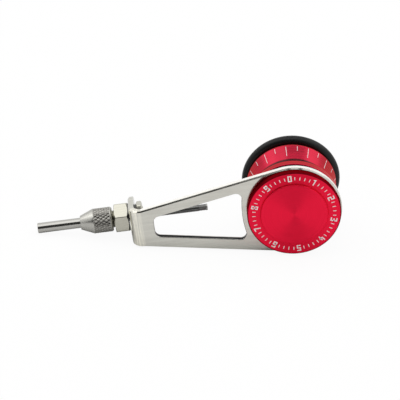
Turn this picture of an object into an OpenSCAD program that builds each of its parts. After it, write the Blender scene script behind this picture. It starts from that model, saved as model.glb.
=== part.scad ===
// Fishing line bobbin knotter: a line spool and drag knob on a bent plate arm, with a nozzle in a collet chuck.
// Tool axes: X along the nozzle with its tip at -X, Y along the spool axis with the knob at -Y, Z up.
// Millimetres. Zero is on the spool axis, in the knob side face of the arm plate.

/* [Arm] */
// Thickness of the arm plate
arm_t = 2; // [1.6:0.1:2.6]
// Radius of the round end about the spool axis
arm_end_r = 17.3; // [17:0.1:19]
// Distance from the spool axis to the front face of the tab
arm_len = 59; // [54:0.5:70]
// Half height of the arm at the bend
bend_h = 7.3; // [6.6:0.1:8.5]
// Inside radius of the bend
bend_r = 2.5; // [1.5:0.1:3]
// Radius of the tab's round end about the nozzle axis
tab_r = 7.1; // [6:0.1:8]
// Width of the rails above and below the window
rail_w = 4.1; // [3:0.1:5]
// Distance from the front face of the tab to the front end of the window
window_setback = 8.6; // [7:0.1:14]
// Distance from the spool axis to the back end of the window
window_back = 18.6; // [18:0.1:24]
// Radius of the curved back end of the window
window_back_r = 40; // [20:1:60]
// Corner radius of the window
window_corner_r = 2.2; // [0.5:0.1:3]

/* [Nozzle] */
// Distance from the arm's knob side face to the nozzle axis
nozzle_y = 9.8; // [9:0.1:14]
// Outside diameter of the sleeve
sleeve_d = 3.7; // [3.4:0.1:4]
// Length of sleeve in front of the chuck
sleeve_out = 15.6; // [10:0.1:25]
// Length of sleeve held inside the chuck
sleeve_grip = 11; // [9:0.5:13]
// Outside diameter of the guide tube
tube_d = 2.35; // [2:0.05:2.5]
// Bore of the guide tube, where the line runs
tube_bore = 1.5; // [1:0.05:1.6]
// Length of guide tube behind the collet body
tube_tail = 22.6; // [10:0.1:25]
// Chamfer on the sleeve's tip
sleeve_edge = 0.3; // [0.1:0.1:0.4]
// Length of the bush in the sleeve's mouth
bush_len = 1.6; // [1:0.1:3]
// Flare of the bushes' mouths
bush_mouth = 0.3; // [0.1:0.05:0.35]
// Thickness of the bush on the guide tube's back end
rear_bush_t = 0.5; // [0.4:0.1:1]

/* [Chuck] */
// Length of the chuck nut
chuck_len = 11.6; // [11:0.1:15]
// Largest diameter of the chuck nut
chuck_d = 9; // [8.7:0.1:11]
// Diameter of the chuck nut's nose
chuck_nose_d = 5; // [4.6:0.1:5.6]
// Length of the chuck nut's cone
chuck_cone = 4.7; // [4:0.1:6]
// Chamfer on the chuck nut's back edge
chuck_edge = 0.4; // [0.1:0.1:0.8]
// Thread diameter of the collet body
thread_d = 6.4; // [6:0.1:6.8]
// Thread left bare between the chuck nut and the hexagon
neck_gap = 0.9; // [0.5:0.1:2]
// Outside diameter of the split collet
collet_d = 5.1; // [4.9:0.05:5.3]
// Length of the split collet
collet_len = 7.4; // [6.5:0.1:8]
// Length of the collet's tapered nose
collet_taper = 1.5; // [1:0.1:2]
// Depth of the collet's nose behind the nut's nose
collet_inset = 2.1; // [1.8:0.1:2.6]
// Length of plain collet between its taper and the body's neck
collet_show = 0.8; // [0.7:0.1:1.2]
// Width of the collet's slots
collet_slot = 0.4; // [0.3:0.05:0.6]
// Length of the collet's slots
collet_slot_len = 5.2; // [3:0.1:6]
// Size of the collet body's hexagon across the flats
hex_af = 10; // [9.4:0.1:11]
// Size of the lock nut across the flats
lock_nut_af = 9.4; // [9:0.1:11]
// Angle by which the collet body's hexagon was left turned
hex_turn = -2; // [-30:1:30]
// Angle by which the lock nut was left turned
lock_nut_turn = 15; // [-30:1:30]
// Length of the collet body's hexagon
hex_len = 5; // [4:0.1:7]
// Thickness of the washer in front of the tab
front_washer_t = 0.5; // [0.3:0.1:1]
// Outside diameter of the washer in front of the tab
front_washer_d = 9.8; // [9:0.1:10.5]
// Thickness of the lock washer behind the tab
lock_washer_t = 0.6; // [0.4:0.1:1]
// Outside diameter of the lock washer behind the tab
lock_washer_d = 8.4; // [8:0.1:9]
// Thickness of the lock nut
lock_nut_t = 2.1; // [1.8:0.1:4]
// Thread standing out behind the lock nut
thread_tail = 0.3; // [0.2:0.1:3]

/* [Spool] */
// Radius of the flange beside the arm
near_flange_r = 16.6; // [15:0.1:17]
// Width of the flange beside the arm
near_flange_w = 2.7; // [2:0.1:4]
// Radius of the boss that runs on the friction washer
boss_r = 12; // [10.5:0.1:14]
// Height of the boss in front of the flange
boss_h = 1.6; // [1:0.1:2.2]
// Smallest radius of the winding groove
groove_r = 13.2; // [10:0.1:14]
// Width of the slope from the flange down to the groove
flange_slope_w = 1.4; // [1:0.1:4]
// Width of the flat bottom of the groove
groove_w = 1.9; // [0.5:0.1:3]
// Width of the long winding cone
cone_w = 8; // [6:0.1:12]
// Radius of the long winding cone at its lip
cone_lip_r = 16.2; // [15:0.1:17]
// Width of the lip in front of the grip ring
lip_w = 0.6; // [0.5:0.1:1.5]
// Width of the valley between the lip and the grip ring
valley_w = 1.5; // [0.5:0.1:3]
// Width of the flange behind the grip ring
far_flange_w = 1.4; // [1:0.1:3]
// Section diameter of the rubber grip ring
ring_d = 3.6; // [3:0.1:4.5]
// Radius of the grip ring's centre line
ring_r = 15.95; // [15:0.05:17]
// Distance from the grip ring's middle to the walls of its groove
ring_lap = 1.2; // [0.8:0.1:1.4]
// Radius of the recess in the spool's far face
recess_r = 8; // [7:0.1:10]
// Depth of the recess in the spool's far face
recess_depth = 2.6; // [2:0.1:4]
// Chamfer on the spool's edges
spool_chamfer = 0.3; // [0.1:0.1:0.6]

/* [Axle and drag] */
// Diameter of the axle
axle_d = 5; // [4.4:0.1:6]
// Distance across the flats that stop the axle from turning
axle_flats = 4.2; // [3.6:0.1:4.2]
// Diameter of the axle's thread under the knob
axle_thread_d = 4; // [3:0.1:4.2]
// Diameter of the axle's head
axle_head_d = 9; // [8:0.1:12]
// Thickness of the axle's head
axle_head_t = 1.8; // [1.2:0.1:2.4]
// Hexagon socket in the axle's head, across the flats
socket_af = 3; // [2:0.1:4]
// Depth of the hexagon socket
socket_depth = 1; // [0.6:0.1:1.1]
// Thickness of the thrust washer under the axle's head
thrust_washer_t = 0.5; // [0.3:0.1:0.8]
// Thickness of the friction washer between arm and spool
friction_t = 0.6; // [0.4:0.1:1.2]
// Radius of the friction washer
friction_r = 10; // [8:0.1:12]
// Outside diameter of the spool's bushes
spool_bush_d = 7.6; // [7:0.1:9]
// Length of the spool's bushes
spool_bush_len = 6; // [4:0.1:8]
// Thickness of one disc spring
spring_t = 0.2; // [0.15:0.05:0.3]
// Free cone height of one disc spring
spring_h = 0.1; // [0.05:0.05:0.2]
// Outside radius of the disc springs and the pressure washer
spring_r = 5; // [4.5:0.1:6.5]
// Thickness of the pressure washer
pressure_t = 0.3; // [0.2:0.1:0.5]

/* [Drag knob] */
// Radius of the knob
knob_r = 16.9; // [15.5:0.1:17.2]
// Distance from the arm to the knob's front face
knob_front = 2.6; // [2.4:0.1:4]
// Gap between the knob and the arm
knob_gap = 0.3; // [0.2:0.05:0.6]
// Chamfer on the knob's edges
knob_chamfer = 0.2; // [0.1:0.1:0.5]
// Radius of the cap in the middle of the knob
cap_r = 12.1; // [10:0.1:14]
// Height of the cap above the knob's front face
cap_h = 0.8; // [0.4:0.1:1.5]
// Thickness of the cap's front wall
cap_wall = 0.6; // [0.5:0.1:0.8]
// Depth of the seat that holds the cap
cap_seat = 0.7; // [0.4:0.1:0.9]
// Thickness of the cap's rim
cap_rim = 1; // [0.6:0.1:2]
// Outside radius of the threaded insert
insert_r = 4; // [3.4:0.1:5]

/* [Fits] */
// Radial gap of pieces that are pressed or clamped together
fit_c = 0.02; // [0.01:0.01:0.05]
// Radial gap of pieces that turn or slide on each other
run_c = 0.05; // [0.03:0.01:0.08]
// Free gap between faces that stay apart
clear_c = 0.15; // [0.1:0.01:0.2]

/* [Hidden] */
$fn = 96;

// Length by which a cutting solid passes the faces that it cuts
over = 1;
// Ratio of a hexagon's corner circle to its flats
hex_k = 1 / (2 * cos(30));

// Places along the nozzle axis, from the tab forward and back
tab_front = -arm_len;
tab_back = tab_front + arm_t;
hex_back = tab_front - front_washer_t;
hex_front = hex_back - hex_len;
nut_back = hex_front - neck_gap;
nut_front = nut_back - chuck_len;
cone_back = nut_front + chuck_cone;
tip_x = nut_front - sleeve_out;
sleeve_back = nut_front + sleeve_grip;
lock_nut_front = tab_back + lock_washer_t;
lock_nut_back = lock_nut_front + lock_nut_t;
body_back = lock_nut_back + thread_tail;
tube_back = body_back + tube_tail;

// Inside of the chuck: the nut's throat, its taper, and the collet that the taper closes
thread_r = thread_d / 2;
throat_r = sleeve_d / 2 + clear_c;
collet_r = collet_d / 2;
collet_front = nut_front + collet_inset;
collet_back = collet_front + collet_len;
collet_nose_r = (sleeve_d / 2 + collet_r) / 2;
body_front = collet_front + collet_taper + collet_show;

// Places along the spool axis, from the arm away from the knob
spool_y = arm_t + friction_t;
flange_y = spool_y + boss_h;
slope_y = flange_y + near_flange_w;
groove_y = slope_y + flange_slope_w;
cone_y = groove_y + groove_w;
lip_y = cone_y + cone_w;
lip_end_y = lip_y + lip_w;
ring_y = lip_end_y + valley_w + ring_d / 2;
far_flange_y = ring_y + ring_lap;
spool_end_y = far_flange_y + far_flange_w;
recess_y = spool_end_y - recess_depth;
ring_outer_r = ring_r + ring_d / 2;

// Places along the spool axis, from the arm towards the knob
spring_gap = fit_c;
spring_stack = 2 * (spring_t + spring_h) + 3 * spring_gap;
pressure_y = -spring_stack - pressure_t;
cap_y = -knob_front - cap_h;
axle_end_y = cap_y + cap_wall + clear_c;
web_y = -knob_front + cap_seat;

// Rest pose: the tool leans until its grip ring and its tip stand on the same floor
lean = asin(ring_outer_r / norm([tip_x, sleeve_d / 2])) - atan2(sleeve_d / 2, -tip_x);
mid_x = (ring_outer_r + tip_x * cos(lean) - sleeve_d / 2 * sin(lean)) / 2;
mid_y = (cap_y + spool_end_y) / 2;

// Angle between the axis and an edge from half height h that touches a circle of radius r at distance d
function edge_angle(d, h, r) = asin(r / norm([d, h])) - atan2(h, d);

// Moves a piece from the tool axes to the rest pose, with zero under the middle of the part
module place() {
    translate([-mid_x, -mid_y, ring_outer_r])
        rotate([0, -lean, 0])
            children();
}

// Turns a piece made along Z onto the nozzle axis, with Z towards the spool
module on_nozzle() {
    translate([0, nozzle_y, 0])
        rotate([0, 90, 0])
            children();
}

// Turns a piece made along Z onto the spool axis, with Z away from the knob
module on_spool() {
    rotate([-90, 0, 0])
        children();
}

// Cylinder between two heights
module rod(r, z0, z1) {
    translate([0, 0, z0])
        cylinder(r = r, h = z1 - z0);
}

// Ring or tube between two heights
module tube(r_out, r_in, z0, z1) {
    difference() {
        rod(r_out, z0, z1);
        rod(r_in, z0 - over, z1 + over);
    }
}

// Hexagonal prism between two heights, with corners up and down
module hex_rod(af, z0, z1, turn = 0) {
    translate([0, 0, z0])
        rotate([0, 0, turn])
            cylinder(d = af * 2 * hex_k, h = z1 - z0, $fn = 6);
}

// Two straight edges that touch a round end at the origin and start at distance d and half height h
module tapered_end(d, h, r) {
    a = edge_angle(d, h, r);
    circle(r);
    polygon([[-d, -h], [-d, h], [-r * sin(a), r * cos(a)], [-r * sin(a), -r * cos(a)]]);
}

// Hole with two flats, or the axle that fits it, along Z
module flatted_rod(r, flats, z0, z1) {
    intersection() {
        rod(r, z0, z1);
        translate([-r, -flats / 2, z0])
            cube([2 * r, flats, z1 - z0]);
    }
}

// Window between the rails, the bend and the curved web beside the spool axis
module window_outline() {
    front = arm_len - window_setback;
    a = edge_angle(arm_len - arm_t - bend_r, bend_h, arm_end_r);
    inner = arm_end_r - rail_w;
    front_h = inner / cos(a) - front * tan(a);
    back_h = inner / cos(a);
    offset(r = window_corner_r)
        offset(delta = -window_corner_r)
            difference() {
                polygon([[-front, -front_h], [-front, front_h], [0, back_h], [0, -back_h]]);
                translate([window_back_r - window_back, 0])
                    circle(window_back_r);
            }
}

// Bent plate: window arm, quarter bend and tab with the chuck's hole
module frame_arm() {
    bend_x = tab_back + bend_r;
    bend_y = arm_t + bend_r;
    color("silver")
        place()
            difference() {
                union() {
                    translate([0, arm_t, 0])
                        rotate([90, 0, 0])
                            linear_extrude(arm_t)
                                tapered_end(-bend_x, bend_h, arm_end_r);
                    translate([bend_x, bend_y, 0])
                        rotate([0, 0, 180])
                            rotate_extrude(angle = 90)
                                translate([bend_r, -bend_h])
                                    square([arm_t, 2 * bend_h]);
                    translate([tab_front, nozzle_y, 0])
                        rotate([90, 0, 90])
                            linear_extrude(arm_t)
                                tapered_end(nozzle_y - bend_y, bend_h, tab_r);
                }
                translate([0, arm_t + over, 0])
                    rotate([90, 0, 0])
                        linear_extrude(arm_t + 2 * over)
                            window_outline();
                on_spool()
                    flatted_rod(axle_d / 2 + fit_c, axle_flats + 2 * fit_c, -over, arm_t + over);
                on_nozzle()
                    rod(thread_r + fit_c, tab_front - over, tab_back + over);
            }
}

// Collet body: threaded neck with the collet's socket, hexagon, and thread through the tab
module collet_body() {
    color("lightgray")
        place()
            on_nozzle()
                difference() {
                    union() {
                        rod(thread_r, body_front, body_back);
                        hex_rod(hex_af, hex_front, hex_back, hex_turn);
                    }
                    rod(throat_r, body_front - over, body_back + over);
                    rod(collet_r + run_c, body_front - over, collet_back);
                }
}

// Thin washer between the hexagon and the tab
module front_washer() {
    color("gray")
        place()
            on_nozzle()
                tube(front_washer_d / 2, thread_r + fit_c, hex_back, tab_front);
}

// Lock washer behind the tab
module lock_washer() {
    color("gray")
        place()
            on_nozzle()
                tube(lock_washer_d / 2, thread_r + fit_c, tab_back, lock_nut_front);
}

// Lock nut that holds the collet body to the tab
module lock_nut() {
    color("silver")
        place()
            on_nozzle()
                difference() {
                    hex_rod(lock_nut_af, lock_nut_front, lock_nut_back, lock_nut_turn);
                    rod(thread_r + fit_c, lock_nut_front - over, lock_nut_back + over);
                }
}

// Split collet: a tapered nose and crossing slots, so that the nut closes it on the sleeve
module collet() {
    slot_len = collet_slot_len + over;
    color("darkgray")
        place()
            on_nozzle()
                difference() {
                    union() {
                        translate([0, 0, collet_front])
                            cylinder(r1 = collet_nose_r, r2 = collet_r, h = collet_taper);
                        rod(collet_r, collet_front + collet_taper, collet_back);
                    }
                    rod(sleeve_d / 2 + fit_c, collet_front - over, collet_back + over);
                    for (turn = [0, 90])
                        rotate([0, 0, turn])
                            translate([-collet_d, -collet_slot / 2, collet_front - over])
                                cube([2 * collet_d, collet_slot, slot_len]);
                }
}

// Chuck nut: cone nose and knurled barrel, threaded on the collet body
module chuck_nut() {
    taper_front = collet_front - clear_c;
    taper_back = collet_front + collet_taper;
    color("gainsboro")
        place()
            on_nozzle()
                rotate_extrude()
                    polygon([
                        [throat_r, nut_front],
                        [chuck_nose_d / 2, nut_front],
                        [chuck_d / 2, cone_back],
                        [chuck_d / 2, nut_back - chuck_edge],
                        [chuck_d / 2 - chuck_edge, nut_back],
                        [thread_r + run_c, nut_back],
                        [thread_r + run_c, body_front - 2 * clear_c],
                        [collet_r + 2 * run_c, taper_back],
                        [collet_nose_r + 2 * run_c, taper_front],
                        [throat_r, taper_front]
                    ]);
}

// Polished sleeve that the collet grips
module nozzle_sleeve() {
    r = sleeve_d / 2;
    color("whitesmoke")
        place()
            on_nozzle()
                rotate_extrude()
                    polygon([
                        [tube_d / 2 + fit_c, tip_x],
                        [r - sleeve_edge, tip_x],
                        [r, tip_x + sleeve_edge],
                        [r, sleeve_back],
                        [tube_d / 2 + fit_c, sleeve_back]
                    ]);
}

// Guide tube fixed in the sleeve, which carries the line from the window to the tip
module guide_tube() {
    color("dimgray")
        place()
            on_nozzle()
                tube(tube_d / 2, tube_bore / 2, tip_x + bush_len, tube_back);
}

// Smooth bush in the sleeve's mouth, in front of the guide tube
module front_bush() {
    color("dimgray")
        place()
            on_nozzle()
                rotate_extrude()
                    polygon([
                        [tube_bore / 2 + bush_mouth, tip_x],
                        [tube_d / 2, tip_x],
                        [tube_d / 2, tip_x + bush_len],
                        [tube_bore / 2, tip_x + bush_len],
                        [tube_bore / 2, tip_x + bush_mouth]
                    ]);
}

// Flared bush on the guide tube's back end
module rear_bush() {
    end = tube_back + rear_bush_t;
    color("gray")
        place()
            on_nozzle()
                rotate_extrude()
                    polygon([
                        [tube_bore / 2, tube_back],
                        [tube_d / 2, tube_back],
                        [tube_d / 2, end],
                        [tube_bore / 2 + bush_mouth, end],
                        [tube_bore / 2, end - bush_mouth]
                    ]);
}

// Axle: socket head in the spool's far recess, shank with flats in the arm, thread under the knob
module axle() {
    head_y = recess_y + thrust_washer_t;
    color("silver")
        place()
            on_spool()
                difference() {
                    union() {
                        rod(axle_thread_d / 2, axle_end_y, 0);
                        flatted_rod(axle_d / 2, axle_flats, pressure_y, arm_t);
                        rod(axle_d / 2, arm_t, head_y);
                        rod(axle_head_d / 2, head_y, head_y + axle_head_t);
                    }
                    hex_rod(socket_af, head_y + axle_head_t - socket_depth, head_y + axle_head_t + over);
                }
}

// Thrust washer between the axle's head and the spool
module thrust_washer() {
    color("gray")
        place()
            on_spool()
                tube(axle_head_d / 2, axle_d / 2 + run_c, recess_y, recess_y + thrust_washer_t);
}

// Friction washer that brakes the spool against the arm
module friction_washer() {
    color("dimgray")
        place()
            on_spool()
                tube(friction_r, axle_d / 2 + run_c, arm_t, spool_y);
}

// Turned spool: flange, winding groove with a long cone, lip, ring groove and far recess
module spool() {
    c = spool_chamfer;
    bore = spool_bush_d / 2 + fit_c;
    ring_floor = ring_r - ring_d / 2 - fit_c;
    color("crimson")
        place()
            on_spool()
                difference() {
                    rotate_extrude()
                        polygon([
                            [bore, spool_y],
                            [boss_r - c, spool_y],
                            [boss_r, spool_y + c],
                            [boss_r, flange_y],
                            [near_flange_r - c, flange_y],
                            [near_flange_r, flange_y + c],
                            [near_flange_r, slope_y - c],
                            [near_flange_r - c, slope_y],
                            [groove_r, groove_y],
                            [groove_r, cone_y],
                            [cone_lip_r, lip_y],
                            [cone_lip_r, lip_end_y],
                            [ring_floor, ring_y - ring_lap],
                            [ring_floor, far_flange_y],
                            [cone_lip_r, far_flange_y],
                            [cone_lip_r, spool_end_y - c],
                            [cone_lip_r - c, spool_end_y],
                            [recess_r, spool_end_y],
                            [recess_r, recess_y],
                            [bore, recess_y]
                        ]);
                    translate([0, 0, ring_y])
                        rotate_extrude()
                            translate([ring_r, 0])
                                circle(r = ring_d / 2 + fit_c);
                }
}

// Rubber grip ring in the spool's ring groove
module grip_ring() {
    color("black")
        place()
            on_spool()
                translate([0, 0, ring_y])
                    rotate_extrude()
                        translate([ring_r, 0])
                            circle(r = ring_d / 2);
}

// Plain bush between the spool and the axle
module spool_bush(y0) {
    color("goldenrod")
        place()
            on_spool()
                tube(spool_bush_d / 2, axle_d / 2 + run_c, y0, y0 + spool_bush_len);
}

module near_bush() {
    spool_bush(spool_y);
}

module far_bush() {
    spool_bush(recess_y - spool_bush_len);
}

// Disc spring: a coned ring whose inner edge stands on the height z0, or hangs from it when turned over
module disc_spring(z0, over_turned) {
    r_in = axle_d / 2 + run_c;
    color("lightgray")
        place()
            on_spool()
                translate([0, 0, z0])
                    mirror([0, 0, over_turned ? 1 : 0])
                        rotate_extrude()
                            polygon([
                                [r_in, 0],
                                [spring_r, spring_h],
                                [spring_r, spring_h + spring_t],
                                [r_in, spring_t]
                            ]);
}

// Spring that stands on the arm's face
module inner_spring() {
    disc_spring(-spring_gap, true);
}

// Spring that carries the pressure washer
module outer_spring() {
    disc_spring(-spring_stack + spring_gap, false);
}

// Washer that slides on the axle's flats and carries the knob
module pressure_washer() {
    color("gray")
        place()
            on_spool()
                difference() {
                    rod(spring_r, pressure_y, -spring_stack);
                    flatted_rod(axle_d / 2 + run_c, axle_flats + 2 * run_c, pressure_y - over, over);
                }
}

// Knob disc: chamfered rim, back recess over the springs, front seat for the cap
module knob() {
    c = knob_chamfer;
    color("crimson")
        place()
            on_spool()
                rotate_extrude()
                    polygon([
                        [insert_r + fit_c, web_y],
                        [insert_r + fit_c, pressure_y],
                        [spring_r + clear_c, pressure_y],
                        [spring_r + clear_c, -knob_gap],
                        [knob_r - c, -knob_gap],
                        [knob_r, -knob_gap - c],
                        [knob_r, c - knob_front],
                        [knob_r - c, -knob_front],
                        [cap_r + fit_c, -knob_front],
                        [cap_r + fit_c, web_y]
                    ]);
}

// Brass insert that carries the knob on the axle's thread
module knob_insert() {
    color("goldenrod")
        place()
            on_spool()
                tube(insert_r, axle_thread_d / 2 + run_c, axle_end_y, pressure_y);
}

// Cap pressed into the knob's front seat, over the insert and the axle's end
module knob_cap() {
    c = knob_chamfer;
    color("crimson")
        place()
            on_spool()
                rotate_extrude()
                    polygon([
                        [0, cap_y],
                        [cap_r - c, cap_y],
                        [cap_r, cap_y + c],
                        [cap_r, web_y],
                        [cap_r - cap_rim, web_y],
                        [cap_r - cap_rim, cap_y + cap_wall],
                        [0, cap_y + cap_wall]
                    ]);
}

frame_arm();
collet_body();
front_washer();
lock_washer();
lock_nut();
collet();
chuck_nut();
nozzle_sleeve();
guide_tube();
front_bush();
rear_bush();
axle();
thrust_washer();
friction_washer();
spool();
grip_ring();
near_bush();
far_bush();
inner_spring();
outer_spring();
pressure_washer();
knob();
knob_insert();
knob_cap();
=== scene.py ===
import bmesh
import bpy
import numpy as np
from mathutils import Matrix


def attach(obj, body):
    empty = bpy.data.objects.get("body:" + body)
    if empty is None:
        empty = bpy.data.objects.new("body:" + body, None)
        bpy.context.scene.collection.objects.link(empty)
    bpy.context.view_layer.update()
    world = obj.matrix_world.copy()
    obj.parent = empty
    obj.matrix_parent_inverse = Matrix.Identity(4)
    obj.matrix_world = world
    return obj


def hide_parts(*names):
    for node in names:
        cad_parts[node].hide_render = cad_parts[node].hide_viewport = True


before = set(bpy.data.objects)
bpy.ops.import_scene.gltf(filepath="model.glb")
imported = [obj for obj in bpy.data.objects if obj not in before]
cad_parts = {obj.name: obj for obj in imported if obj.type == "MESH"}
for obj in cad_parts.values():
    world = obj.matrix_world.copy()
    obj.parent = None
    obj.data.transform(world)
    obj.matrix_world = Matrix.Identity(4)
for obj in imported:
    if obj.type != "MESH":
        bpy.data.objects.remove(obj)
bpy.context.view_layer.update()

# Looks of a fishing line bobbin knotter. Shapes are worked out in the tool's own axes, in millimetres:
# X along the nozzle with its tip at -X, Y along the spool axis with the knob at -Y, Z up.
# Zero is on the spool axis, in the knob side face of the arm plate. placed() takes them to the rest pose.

MM = 0.001
TURN = 2 * np.pi

# Places along the nozzle axis, from the tip to the back end of the guide tube
NOZZLE_Y = 9.8
TIP_X = -92.6
NUT_FRONT = -77.0
CONE_BACK = -72.3
NUT_BACK = -65.4
COLLET_FRONT = -74.9
COLLET_BACK = -67.5
TAPER_BACK = -73.4
BODY_FRONT = -72.6
HEX_FRONT = -64.5
HEX_BACK = -59.5
TAB_BACK = -57.0
LOCK_NUT_FRONT = -56.4
LOCK_NUT_BACK = -54.3
BODY_BACK = -54.0
SLEEVE_BACK = -66.0
TUBE_FRONT = -91.0
TUBE_BACK = -31.4

# Radii about the nozzle axis, and the two hexagons across their flats
SLEEVE_R = 1.85
TUBE_R = 1.175
TUBE_BORE = 0.75
THROAT_R = 2.0
THREAD_R = 3.2
COLLET_R = 2.55
COLLET_NOSE_R = 2.2
CHUCK_R = 4.5
CHUCK_NOSE_R = 2.5
HEX_AF = 10.0
LOCK_NUT_AF = 9.4
LOCK_WASHER_R = 4.2

# Places along the spool axis and radii about it
SPOOL_FRONT = 2.6
FLANGE_FRONT = 4.2
FLANGE_BACK = 6.9
GROOVE_FRONT = 8.3
CONE_FRONT = 10.2
LIP_FRONT = 18.2
LIP_BACK = 18.8
RING_Y = 22.1
RING_LAP = 1.2
FAR_FLANGE = 23.3
SPOOL_END = 24.7
RECESS_Y = 22.1
BOSS_R = 12.0
FLANGE_R = 16.6
GROOVE_R = 13.2
LIP_R = 16.2
RING_R = 15.95
RING_D = 3.6
RECESS_R = 8.0
SPOOL_BORE = 3.82
SPOOL_CHAMFER = 0.3
KNOB_R = 16.9
KNOB_FRONT = -2.6
KNOB_BACK = -0.3
KNOB_CHAMFER = 0.2
CAP_R = 12.1
CAP_FRONT = -3.4
WEB_Y = -1.9
PRESSURE_Y = -0.96
INSERT_R = 4.0
SPRING_ROOM_R = 5.15
CAP_WALL = 0.6
CAP_RIM = 1.0
FIT = 0.02
RUN = 0.05

# Rest pose: the tool leans until its grip ring and its tip stand on one floor
RING_OUTER = RING_R + RING_D / 2
LEAN = np.arcsin(RING_OUTER / np.hypot(TIP_X, SLEEVE_R)) - np.arctan2(SLEEVE_R, -TIP_X)
MID_X = (RING_OUTER + TIP_X * np.cos(LEAN) - SLEEVE_R * np.sin(LEAN)) / 2
MID_Y = (CAP_FRONT + SPOOL_END) / 2
LEANING = np.array([[np.cos(LEAN), 0, -np.sin(LEAN)], [0, 1, 0], [np.sin(LEAN), 0, np.cos(LEAN)]])
RESTING = np.array([-MID_X, -MID_Y, RING_OUTER])


def placed(points):
    """Rest pose in metres of tool points in millimetres: a lean about Y, then a shift."""
    return (np.asarray(points, float) @ LEANING.T + RESTING) * MM


def unplaced(points):
    """Tool points in millimetres of rest pose points in metres: placed() undone."""
    return (np.asarray(points, float) / MM - RESTING) @ LEANING


# Shapes: reach and steps of eased corners, the most that one takes of a side, steps round the large turned
# pieces, the angle in degrees over which an edge is sharp, and the distance in metres at which points merge

EASE = 0.12
EASE_STEPS = 4
EASE_LIMIT = 0.4
ROUND_STEPS = 160
SHARP = 40
SAME_PLACE = 1e-7


def about_nozzle(r, t, along):
    """Points at radius r and angle t about the nozzle axis; t runs from +Y towards +Z."""
    r, t, along = np.broadcast_arrays(r, t, along)
    return np.stack([along, NOZZLE_Y + r * np.cos(t), r * np.sin(t)], -1)


def about_spool(r, t, along):
    """Points at radius r and angle t about the spool axis; t runs from +X towards +Z."""
    r, t, along = np.broadcast_arrays(r, t, along)
    return np.stack([r * np.cos(t), along, r * np.sin(t)], -1)


def round_steps(n):
    """Column of n equal angles round a full turn."""
    return TURN * np.arange(n)[:, None] / n


def eased(corners, reach=EASE, closed=True):
    """Outline with eased corners: each gives way to a parabola that starts and ends one reach away."""
    p = np.asarray(corners, float)
    before, after = np.roll(p, 1, 0) - p, np.roll(p, -1, 0) - p
    len_before = np.linalg.norm(before, axis=1, keepdims=True)
    len_after = np.linalg.norm(after, axis=1, keepdims=True)
    back = np.minimum(reach, EASE_LIMIT * np.minimum(len_before, len_after))
    a, b = p + before / len_before * back, p + after / len_after * back
    s = np.linspace(0, 1, EASE_STEPS + 1)[None, :, None]
    curve = (1 - s) ** 2 * a[:, None] + 2 * s * (1 - s) * p[:, None] + s ** 2 * b[:, None]
    if closed:
        return curve.reshape(-1, 2)
    return np.concatenate([p[:1], curve[1:-1].reshape(-1, 2), p[-1:]])


def grid_faces(rows, cols, wrap=(True, True)):
    """Corner numbers of the faces between neighbours on a grid that closes on itself where it wraps."""
    i, j = np.meshgrid(np.arange(rows - (not wrap[0])), np.arange(cols - (not wrap[1])), indexing="ij")
    k, m = (i + 1) % rows, (j + 1) % cols
    return np.stack([i * cols + j, k * cols + j, k * cols + m, i * cols + m], -1).reshape(-1, 4)


def add_piece(
        name, points, faces, body, material, slot=None, replaces=(), sharp=SHARP, even=False, values=None):
    """Mesh piece from tool points and four-cornered faces: doubles merged, faces outward, riding on a body.

    values is one number per point, kept as the attribute "depth".
    even lets large flat faces set the normals.
    """
    co = placed(points).reshape(-1, 3)
    mesh = bpy.data.meshes.new(name)
    mesh.vertices.add(len(co))
    mesh.vertices.foreach_set("co", co.ravel())
    mesh.loops.add(faces.size)
    mesh.loops.foreach_set("vertex_index", faces.ravel())
    mesh.polygons.add(len(faces))
    mesh.polygons.foreach_set("loop_start", np.arange(0, faces.size, faces.shape[1]))
    mesh.update(calc_edges=True)
    if values is not None:
        mesh.attributes.new("depth", "FLOAT", "POINT").data.foreach_set("value", np.ravel(values))
    bm = bmesh.new()
    bm.from_mesh(mesh)
    bmesh.ops.remove_doubles(bm, verts=bm.verts, dist=SAME_PLACE)
    bmesh.ops.recalc_face_normals(bm, faces=bm.faces)
    bm.to_mesh(mesh)
    bm.free()
    dress(name, mesh, body, [material], replaces, sharp, even)


def dress(name, mesh, body, materials, replaces, sharp, even):
    """Object of a finished mesh, smooth but for edges over the sharp angle, on its body."""
    mesh.shade_smooth()
    mesh.set_sharp_from_angle(angle=np.radians(sharp))
    for material in materials:
        mesh.materials.append(material)
    obj = bpy.data.objects.new(name, mesh)
    bpy.context.scene.collection.objects.link(obj)
    if even:
        modifier = obj.modifiers.new("even_normals", "WEIGHTED_NORMAL")
        modifier.keep_sharp = True
    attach(obj, body)
    if replaces:
        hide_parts(*replaces)
    return obj


def turned(name, corners, about, n, reach, *where, closed=True, deep=None, **more):
    """Turned piece: an outline of (radius, along) corners is eased and carried round an axis in n steps.

    deep gives the attribute "depth" at a radius and a place along the axis.
    """
    r, along = eased(corners, reach, closed=closed).T
    points = about(r, round_steps(n), along)
    if deep:
        more["values"] = np.broadcast_to(deep(r, along), points.shape[:2])
    add_piece(name, points, grid_faces(n, len(r), (True, closed)), *where, even=True, **more)


def saw(u):
    """Triangle wave: 0 at whole numbers and 1 halfway between them."""
    return 1 - np.abs(2 * (u % 1) - 1)


# Materials. Polish lines, tool marks and fibres are finer on the real surfaces than a picture can show,
# so they are drawn as coarse here as they need to be.

# Noise stays mostly between these two values, which are spread over the whole range
PATTERN_LOW = 0.3
PATTERN_HIGH = 0.7

# Size of the waves in a torn border, and the line round which the tab is bent
WANDER_SIZE = 1.5
BEND_LINE = (-57.2, 0.7, 0)


def linear(code):
    """Linear colour of an sRGB hex value."""
    c = np.array([int(code[i:i + 2], 16) for i in (1, 3, 5)]) / 255
    return (*np.where(c <= 0.04045, c / 12.92, ((c + 0.055) / 1.055) ** 2.4), 1.0)


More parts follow.
